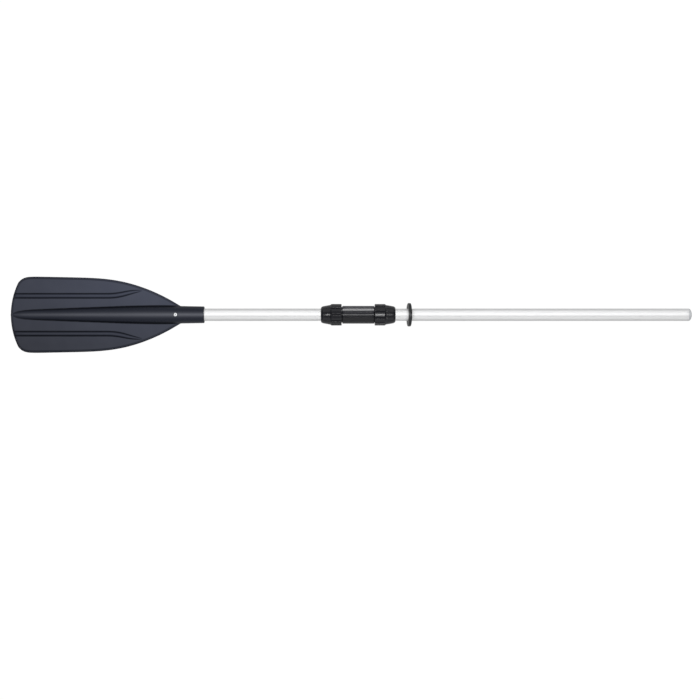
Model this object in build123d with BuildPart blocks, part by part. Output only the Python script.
from build123d import *
from math import atan2, degrees
import os

# Single-bladed paddle with a two-piece tube shaft, joined by a sleeve with a nut at each end.
# Millimetres. +X runs along the shaft from the blade to the handle end, +Y across the blade,
# +Z out of the blade's face. The origin is on the shaft axis, half way between the blade tip
# and the domed end.
# Names ending in _r are radii, _t thicknesses, _w widths, and _x places along the shaft.

length_overall = 1370.0
tip_x = -length_overall / 2  # blade tip
end_x = length_overall / 2  # top of the domed end cap

# ------------------------------------------------------------------ shaft tube sizes
tube_r = 12.5
tube_bore_r = 11.4
fit_r = 12.3  # the coupling end of each tube is a little smaller
fit_chamfer = 0.4
blade_tube_x = -394.0  # end of the blade tube, inside the blade
seam_x = 678.2  # end of the handle tube, where the cap starts
blade_fit_x = -66.0  # where the smaller end of each tube stops
handle_fit_x = 126.0
step_len = 1.5  # cone between the two diameters

# ------------------------------------------------------------------ blade sizes
shoulder_x = tip_x + 341.6  # where the blade outline runs into the socket
tip_arc_x, tip_arc_y = 14.6, 64.0  # end of the tip's wide arc, from the tip
shoulder_dir_x, shoulder_dir_y = 0.861, -0.508  # direction of the outline at the shoulder
# outline after the tip's arc: distance from tip, half width
flank_points = [
    (17.8, 67.9), (21.7, 71.3), (25.7, 73.5), (29.8, 75.0), (33.8, 75.9), (38.8, 76.4),
    (46.0, 76.65), (68.0, 76.5), (100.2, 75.9), (132.4, 75.2), (164.5, 74.1), (196.7, 71.4),
    (228.9, 65.8), (261.1, 56.6), (293.3, 43.8), (325.5, 27.2), (341.6, 17.7),
]
web_half_w = 80.0  # the web starts this wide, before it is trimmed to the outline
web_mid_t = 8.0  # on the centre line, under the spine
web_edge_t = 3.2  # at web_half_w
web_tip_t, web_taper = 5.0, 140.0  # thinned to this at the tip, over this length
web_margin = 0.1  # the taper clears the full-thickness web by this on each face
rim_w, rim_t = 5.0, 5.4
# spine stations: distance from tip, half width, half height
spine_stations = [
    (3.0, 2.6, 3.2), (10.0, 5.5, 4.2), (22.0, 8.2, 5.7), (45.0, 10.2, 7.5),
    (100.0, 12.5, 10.7), (180.0, 15.4, 13.9), (250.0, 17.7, 16.4), (300.0, 18.4, 17.5),
    (330.0, 18.1, 17.7), (345.0, 17.6, 17.6),
]
# side rib stations: distance from tip, distance from axis, half width, half height
rib_stations = [
    (7.4, 38.0, 5.25, 3.1), (14.0, 38.0, 5.25, 5.4), (28.0, 38.0, 5.3, 6.9),
    (60.0, 38.0, 5.3, 7.2), (196.0, 38.0, 5.3, 7.4), (204.0, 38.3, 5.3, 7.35),
    (211.0, 38.9, 5.3, 7.25), (218.0, 39.9, 5.2, 7.1), (225.0, 41.2, 5.05, 6.85),
    (232.0, 42.8, 4.75, 6.5), (239.0, 44.4, 4.3, 6.0), (246.0, 45.8, 3.65, 5.4),
    (252.0, 46.8, 2.95, 4.8), (258.0, 47.7, 2.15, 4.1), (264.0, 48.5, 1.15, 3.3),
]
socket_start_x = tip_x + 336.0
socket_x = tip_x + 389.4  # mouth of the socket
socket_r0, socket_r1 = 17.6, 16.75  # at the shoulder and at the mouth
socket_round = 1.2  # rounding of the mouth
socket_bore_r = 12.54

# rivet through the socket and the tube, on the +Z side
rivet_x = tip_x + 332.6
rivet_hole_r = 2.0
rivet_shank_r = 1.95
rivet_head_r = 3.9
rivet_seat_z = 17.2
rivet_pin_r = 0.9
rivet_axis = Axis((rivet_x, 0, 0), (0, 0, 1))

# ------------------------------------------------------------------ coupling sizes
# Distances here are measured outwards from the coupling's middle unless noted.
blade_side, handle_side = -1, 1
mid_x = 14.3
sleeve_half = 32.1  # to the shoulder at each end of the barrel
sleeve_r = 17.9
sleeve_chamfer = 0.8
sleeve_bore_r = 12.38
grip_count, grip_groove_r, grip_margin = 12, 0.55, 2.5
spigot_end = 60.5
thread_r, thread_root_r = 16.5, 15.7
thread_pitch = 3.0
stop_half = 2.0  # half thickness of the stop between the two tubes
stop_bore_r = 9.5
tube_gap = 0.3  # tube end to stop
tube_end = stop_half + tube_gap
cone_in, cone_in_r, cone_out_r = 46.0, 13.6, 15.2  # collet seat, opening outwards
cone_slope = (cone_out_r - cone_in_r) / (spigot_end - cone_in)
seal_at, seal_major, seal_minor = 41.0, 13.38, 1.0
seal_groove_half_w = 1.15
seal_groove_r = seal_major + seal_minor + 0.06

nut_len = 41.6
nut_r = 21.7
nut_bore_r = 16.58
nut_nose_r = 12.72
nut_groove_count = 10
nut_groove_w, nut_groove_depth = 3.2, 4.0  # of the cutter
nut_groove_r = 20.4  # floor of the grooves
blade_face = sleeve_half + 1.6  # open face of each nut, clear of the sleeve's shoulder
handle_face = sleeve_half + 0.8
thread_depth, chamber_depth = 29.0, 31.9  # from the nut's open face
chamber_r = 15.7
collet_len = 16.4
collet_bore_r = 12.36
collet_clearance = 0.08
collet_slot_at, collet_slot_depth = 14.0, 6.0  # centre radius and radial size of the cutters
through_slot_w, blind_slot_w = 1.8, 1.2
blind_slot_stop = 5.0
washer_t = 1.2

# ------------------------------------------------------------------ ring, cap and plug sizes
ring_x = 116.6
ring_r, ring_bore_r = 23.6, 12.96
ring_t = 6.0
ring_tilt = 6.0  # degrees
ring_outer_fillet, ring_bore_fillet = 1.9, 0.6

plug_r = 11.39
plug_len = 12.0  # from the tube end to the end of the skirt
plug_recess = 0.3  # tube end to disc
plug_disc_t, plug_wall_t, plug_chamfer = 2.3, 1.6, 0.5
float_inset, float_len, float_chamfer = 1.0, 34.0, 1.2

cap_x = seam_x + 0.1  # base of the dome
cap_r = tube_r - 0.05
cap_skirt = 22.0
cap_wall_t = 1.8
cap_groove_count, cap_groove_depth, cap_groove_w = 8, 1.6, 4.5  # cutter is centred on plug_r


def outward(side, distance):
    """X of a point that far outwards from the coupling's middle, on the given side."""
    return mid_x + side * distance


def profile(side, points):
    """(distance outwards, radius) pairs as XZ sketch points."""
    return [(outward(side, distance), radius) for distance, radius in points]


def turned(points, axis=Axis.X):
    """Solid of revolution from a closed section of straight lines in XZ."""
    with BuildPart() as part:
        with BuildSketch(Plane.XZ):
            with BuildLine():
                Polyline(*points, close=True)
            make_face()
        revolve(axis=axis)
    return part.part


# ------------------------------------------------------------------ blade
def bead_point(edge, position):
    """Point half a rim width inside the outline."""
    point, along = edge @ position, edge % position
    return (point.X + along.Y * rim_w / 2, point.Y - along.X * rim_w / 2)


def bead_half():
    """Points of the rim bead's centre line, from the tip round the +Y side to the shoulder."""
    with BuildLine():
        tip = ThreePointArc(
            (tip_x, 0),
            (tip_x + tip_arc_x * 0.26, tip_arc_y * 0.5146),
            (tip_x + tip_arc_x, tip_arc_y),
        )
        flank = Spline(
            *[tip @ 1] + [(tip_x + from_tip, half_w) for from_tip, half_w in flank_points],
            tangents=[tip % 1, (shoulder_dir_x, shoulder_dir_y)],
            tangent_scalars=[1, 1],
        )
    tip_points = [bead_point(tip, i / 10) for i in range(10)]
    return tip_points + [bead_point(flank, i / 36) for i in range(37)]


def rib_planes(side):
    """Section plane, half width and half height at each station, square to the rib's run."""
    sections = []
    for i, (from_tip, off_axis, half_w, half_h) in enumerate(rib_stations):
        before_x, before_y = rib_stations[max(i - 1, 0)][:2]
        after_x, after_y = rib_stations[min(i + 1, len(rib_stations) - 1)][:2]
        turn = side * degrees(atan2(after_y - before_y, after_x - before_x))
        plane = Plane(
            origin=(tip_x + from_tip, side * off_axis, 0),
            x_dir=Vector(0, 1, 0).rotate(Axis.Z, turn),
            z_dir=Vector(1, 0, 0).rotate(Axis.Z, turn),
        )
        sections.append((plane, half_w, half_h))
    return sections


def make_blade():
    bead_points = bead_half()
    edge_z, mid_z, tip_z = web_edge_t / 2, web_mid_t / 2, web_tip_t / 2
    taper_z = mid_z + web_margin
    with BuildPart() as part:
        # web: double wedge, thick at the spine and thin at the edge
        with BuildSketch(Plane.YZ.offset(tip_x - 1)):
            with BuildLine():
                Polyline(
                    (-web_half_w, edge_z), (0, mid_z), (web_half_w, edge_z),
                    (web_half_w, -edge_z), (0, -mid_z), (-web_half_w, -edge_z), close=True,
                )
            make_face()
        extrude(amount=shoulder_x - tip_x + 1)
        # thinned towards the tip
        with BuildSketch(Plane.XZ):
            with BuildLine():
                Polyline(
                    (tip_x - 2, tip_z), (tip_x + web_taper, taper_z), (shoulder_x + 2, taper_z),
                    (shoulder_x + 2, -taper_z), (tip_x + web_taper, -taper_z),
                    (tip_x - 2, -tip_z), close=True,
                )
            make_face()
        extrude(amount=100, both=True, mode=Mode.INTERSECT)
        # trimmed to the centre line of the rim bead
        with BuildSketch(Plane.XY):
            with BuildLine():
                bead_path = Spline(
                    *[(x, -y) for x, y in bead_points[:0:-1]] + bead_points,
                    tangents=[(-shoulder_dir_x, shoulder_dir_y), (shoulder_dir_x, shoulder_dir_y)],
                    tangent_scalars=[1, 1],
                )
                Line(bead_path @ 1, bead_path @ 0)
            make_face()
        extrude(amount=20, both=True, mode=Mode.INTERSECT)
        # rounded rim bead
        with BuildSketch(Plane(origin=bead_path @ 0, x_dir=(0, 0, 1), z_dir=bead_path % 0)):
            Ellipse(rim_t / 2, rim_w / 2)
        sweep(path=bead_path)
        # centre spine, the same on both faces
        for from_tip, half_w, half_h in spine_stations:
            with BuildSketch(Plane.YZ.offset(tip_x + from_tip)):
                Ellipse(half_w, half_h)
        loft()
        # two side ribs that bend outwards and narrow away, on both faces
        for side in (1, -1):
            for plane, half_w, half_h in rib_planes(side):
                with BuildSketch(plane):
                    Ellipse(half_w, half_h)
            loft(ruled=True)
        # round socket
        with BuildSketch(Plane.XZ):
            with BuildLine():
                Polyline(
                    (socket_x, socket_r1 - socket_round), (socket_x, 0), (socket_start_x, 0),
                    (socket_start_x, socket_r0), (shoulder_x, socket_r0),
                    (socket_x - socket_round, socket_r1),
                )
                ThreePointArc(
                    (socket_x - socket_round, socket_r1),
                    (socket_x - 0.35, socket_r1 - 0.35),
                    (socket_x, socket_r1 - socket_round),
                )
            make_face()
        revolve(axis=Axis.X)
        # bore for the tube, from the mouth to 2 past the tube's end
        with BuildSketch(Plane.YZ.offset(socket_x)):
            Circle(socket_bore_r)
        extrude(amount=-(socket_x - blade_tube_x + 2), mode=Mode.SUBTRACT)
        # rivet hole with a flat seat for the head
        with BuildSketch(Plane(origin=(rivet_x, 0, 0), z_dir=(0, 0, 1))):
            Circle(rivet_hole_r)
        extrude(amount=30, mode=Mode.SUBTRACT)
        with BuildSketch(Plane(origin=(rivet_x, 0, rivet_seat_z), z_dir=(0, 0, 1))):
            Circle(rivet_head_r + 0.1)
        extrude(amount=5, mode=Mode.SUBTRACT)
    return part.part


# ------------------------------------------------------------------ rivet
def rivet_profile(points):
    """(distance from the rivet's axis, z) pairs as XZ sketch points."""
    return [(rivet_x + radius, z) for radius, z in points]


def make_rivet_body():
    """Hollow rivet with a domed head and a bulged inner end."""
    bore_r = rivet_pin_r + 0.02
    shank = [
        (bore_r, 7.9), (2.7, 8.4), (2.9, 9.8), (rivet_shank_r, 10.95),
        (rivet_shank_r, rivet_seat_z), (rivet_head_r, rivet_seat_z),
        (rivet_head_r, rivet_seat_z + 0.35),
    ]
    dome = [shank[-1], (2.7, rivet_seat_z + 1.0), (1.3, rivet_seat_z + 1.2)]
    top = [dome[-1], (bore_r, rivet_seat_z + 0.9), shank[0]]
    with BuildPart() as part:
        with BuildSketch(Plane.XZ):
            with BuildLine():
                Polyline(*rivet_profile(shank))
                ThreePointArc(*rivet_profile(dome))
                Polyline(*rivet_profile(top))
            make_face()
        revolve(axis=rivet_axis)
    return part.part


def make_rivet_mandrel():
    """Pin inside the rivet, with a bulb at its inner end."""
    section = [
        (0, 5.6), (0.9, 5.7), (1.7, 6.6), (1.5, 7.5), (rivet_pin_r, 7.85),
        (rivet_pin_r, rivet_seat_z + 0.55), (0, rivet_seat_z + 0.75),
    ]
    return turned(rivet_profile(section), rivet_axis)


# ------------------------------------------------------------------ tubes, plugs and cap
def make_tube(side, fit_x, far_x, far_chamfer):
    """Tube from the coupling's stop to far_x, smaller as far as fit_x."""
    near_x = outward(side, tube_end)
    return turned([
        (near_x, tube_bore_r), (near_x, fit_r - fit_chamfer),
        (near_x + side * fit_chamfer, fit_r), (fit_x, fit_r),
        (fit_x + side * step_len, tube_r), (far_x - side * far_chamfer, tube_r),
        (far_x, tube_r - far_chamfer), (far_x, tube_bore_r),
    ])


def make_blade_tube():
    tube = make_tube(blade_side, blade_fit_x, blade_tube_x, far_chamfer=0.3)
    with BuildPart() as part:
        add(tube)
        # rivet hole, through the +Z wall only
        with BuildSketch(Plane(origin=(rivet_x, 0, 0), z_dir=(0, 0, 1))):
            Circle(rivet_hole_r)
        extrude(amount=20, mode=Mode.SUBTRACT)
    return part.part


def make_tube_plug(side):
    """Plug in the tube end that meets the stop: a disc with a skirt."""
    face = tube_end + plug_recess
    disc_back = face + plug_disc_t
    skirt_end = tube_end + plug_len
    return turned(profile(side, [
        (face, 0), (face, plug_r - plug_chamfer), (face + plug_chamfer, plug_r),
        (skirt_end, plug_r), (skirt_end, plug_r - plug_wall_t),
        (disc_back, plug_r - plug_wall_t), (disc_back, 0),
    ]))


def make_float_plug():
    """Foam plug in the blade end of the blade tube."""
    with BuildPart() as part:
        with BuildSketch(Plane.YZ.offset(blade_tube_x + float_inset)):
            Circle(plug_r)
        extrude(amount=float_len)
        chamfer(part.edges().filter_by(GeomType.CIRCLE), float_chamfer)
    return part.part


def make_end_cap():
    """Domed cap with a grooved skirt inside the tube."""
    with BuildPart() as part:
        with BuildSketch(Plane.XZ):
            with BuildLine():
                Line((cap_x, 0), (cap_x, cap_r))
                EllipticalCenterArc((cap_x, 0), end_x - cap_x, cap_r, start_angle=0, arc_size=90)
                Line((end_x, 0), (cap_x, 0))
            make_face()
        revolve(axis=Axis.X)
        with BuildSketch(Plane.YZ.offset(seam_x + 0.2)):
            Circle(plug_r)
        extrude(amount=-cap_skirt)
        # hollow of the skirt
        with BuildSketch(Plane.YZ.offset(seam_x - cap_skirt)):
            Circle(plug_r - cap_wall_t)
        extrude(amount=cap_skirt - 1, mode=Mode.SUBTRACT)
        # grooves along the outside of the skirt
        with BuildSketch(Plane.YZ.offset(seam_x - cap_skirt)):
            with PolarLocations(plug_r, cap_groove_count, start_angle=22.5):
                Rectangle(cap_groove_depth, cap_groove_w)
        extrude(amount=cap_skirt - 3, mode=Mode.SUBTRACT)
    return part.part


# ------------------------------------------------------------------ coupling sleeve and seals
def thread_ridges():
    """Thread ridges on a spigot, from shoulder to mouth, drawn as separate rings."""
    ridges = []
    start = sleeve_half + 1.6
    while start + thread_pitch < spigot_end - 0.8:
        ridges += [
            (start, thread_root_r), (start + 0.7, thread_r),
            (start + 1.5, thread_r), (start + 2.2, thread_root_r),
        ]
        start += thread_pitch
    return ridges


def make_sleeve():
    # half section: along the outside to the mouth, then back along the bore to the stop
    half = [
        (sleeve_half - sleeve_chamfer, sleeve_r), (sleeve_half, sleeve_r - sleeve_chamfer),
        (sleeve_half, thread_root_r),
        *thread_ridges(),
        (spigot_end - 0.6, thread_root_r), (spigot_end, thread_root_r - 0.4),
        (spigot_end, cone_out_r), (cone_in, cone_in_r), (cone_in - 1.2, sleeve_bore_r),
        (seal_at + seal_groove_half_w, sleeve_bore_r),
        (seal_at + seal_groove_half_w, seal_groove_r),
        (seal_at - seal_groove_half_w, seal_groove_r),
        (seal_at - seal_groove_half_w, sleeve_bore_r),
        (stop_half, sleeve_bore_r), (stop_half, stop_bore_r),
    ]
    body = turned(profile(blade_side, half[::-1]) + profile(handle_side, half))
    with BuildPart() as part:
        add(body)
        # shallow grooves along the barrel
        with BuildSketch(Plane.YZ.offset(mid_x - sleeve_half + grip_margin)):
            with PolarLocations(sleeve_r, grip_count, start_angle=15):
                Circle(grip_groove_r)
        extrude(amount=2 * (sleeve_half - grip_margin), mode=Mode.SUBTRACT)
    return part.part


def make_seal(side):
    with BuildPart() as part:
        with BuildSketch(Plane.XZ):
            with Locations((outward(side, seal_at), seal_major)):
                Circle(seal_minor)
        revolve(axis=Axis.X)
    return part.part


# ------------------------------------------------------------------ nuts, collets and washers
# "face" is the distance of the nut's open face from the coupling's middle.
def make_nut(side, face, groove_angle):
    nose = face + nut_len
    thread_end = face + thread_depth
    chamber_end = face + chamber_depth
    body = turned(profile(side, [
        (face, nut_bore_r + 0.5), (face, nut_r - 0.6), (face + 0.6, nut_r),
        (nose - 21.4, nut_r), (nose - 19.0, 19.8), (nose - 14.0, 18.95), (nose - 8.0, 17.9),
        (nose - 4.0, 17.1), (nose - 1.8, 16.1), (nose - 0.6, 14.9), (nose, 13.8),
        (nose, nut_nose_r + 0.3), (nose - 0.3, nut_nose_r),
        (chamber_end, nut_nose_r), (chamber_end, chamber_r), (thread_end, chamber_r),
        (thread_end, nut_bore_r), (face + 0.5, nut_bore_r),
    ]))
    with BuildPart() as part:
        add(body)
        # finger grooves between the broad lugs
        with BuildSketch(Plane.YZ.offset(outward(side, face))):
            with PolarLocations(
                nut_groove_r + nut_groove_depth / 2, nut_groove_count, start_angle=groove_angle
            ):
                Rectangle(nut_groove_depth, nut_groove_w)
        extrude(amount=side * nut_len, mode=Mode.SUBTRACT)
    return part.part


def make_collet(side, face):
    """Slotted cone ring, thin end inwards, moved outwards with its nut."""
    thick_end = face + chamber_depth - washer_t - 0.1
    thin_end = thick_end - collet_len
    cone_end = thick_end - 3.0
    cone_start = cone_in + face - handle_face
    thin_r = cone_in_r + cone_slope * (thin_end - cone_start) - collet_clearance
    thick_r = cone_in_r + cone_slope * (cone_end - cone_start) - collet_clearance
    body = turned(profile(side, [
        (thin_end, collet_bore_r), (thin_end, thin_r), (cone_end, thick_r),
        (thick_end - 0.4, thick_r), (thick_end, thick_r - 0.4), (thick_end, collet_bore_r),
    ]))
    thin_plane = Plane.YZ.offset(outward(side, thin_end))
    with BuildPart() as part:
        add(body)
        # one slot right through, on the -Z side
        with BuildSketch(thin_plane):
            with Locations((0, -collet_slot_at)):
                Rectangle(through_slot_w, collet_slot_depth)
        extrude(amount=side * collet_len, mode=Mode.SUBTRACT)
        # and five that stop short of the thick end
        with BuildSketch(thin_plane):
            with PolarLocations(collet_slot_at, 5, start_angle=-30, angular_range=300):
                Rectangle(collet_slot_depth, blind_slot_w)
        extrude(amount=side * (collet_len - blind_slot_stop), mode=Mode.SUBTRACT)
    return part.part


def make_washer(side, face):
    outer_face = face + chamber_depth - 0.05
    inner_face = outer_face - washer_t
    bore_r, rim_r = nut_nose_r - 0.2, chamber_r - 0.15
    return turned(profile(side, [
        (inner_face, bore_r), (inner_face, rim_r), (outer_face, rim_r), (outer_face, bore_r),
    ]))


# ------------------------------------------------------------------ rubber ring
def make_stop_ring():
    """Rounded ring, a little cocked on the handle tube."""
    tilted = Plane(
        origin=(ring_x, 0, 0),
        x_dir=Vector(0, 1, 0),
        z_dir=Vector(1, 0, 0).rotate(Axis.Y, ring_tilt),
    )
    with BuildPart() as part:
        with BuildSketch(tilted):
            Circle(ring_r)
            Circle(ring_bore_r, mode=Mode.SUBTRACT)
        extrude(amount=ring_t / 2, both=True)
        circles = part.edges().filter_by(GeomType.CIRCLE)
        fillet(circles.filter_by(lambda edge: edge.radius > ring_r - 1), ring_outer_fillet)
        circles = part.edges().filter_by(GeomType.CIRCLE)
        fillet(circles.filter_by(lambda edge: edge.radius < ring_bore_r + 0.1), ring_bore_fillet)
    return part.part


# ------------------------------------------------------------------ out
pieces = {
    "blade": make_blade(),
    "rivet_body": make_rivet_body(),
    "rivet_mandrel": make_rivet_mandrel(),
    "blade_tube": make_blade_tube(),
    "blade_tube_plug": make_tube_plug(blade_side),
    "blade_float_plug": make_float_plug(),
    "sleeve": make_sleeve(),
    "blade_seal": make_seal(blade_side),
    "handle_seal": make_seal(handle_side),
    "blade_nut": make_nut(blade_side, blade_face, groove_angle=18),
    "handle_nut": make_nut(handle_side, handle_face, groove_angle=0),
    "blade_collet": make_collet(blade_side, blade_face),
    "handle_collet": make_collet(handle_side, handle_face),
    "blade_washer": make_washer(blade_side, blade_face),
    "handle_washer": make_washer(handle_side, handle_face),
    "handle_tube": make_tube(handle_side, handle_fit_x, seam_x, far_chamfer=0.2),
    "handle_tube_plug": make_tube_plug(handle_side),
    "end_cap": make_end_cap(),
    "stop_ring": make_stop_ring(),
}

os.makedirs("parts", exist_ok=True)
for label, piece in pieces.items():
    piece.label = label
    export_step(piece, f"parts/{label}.step")
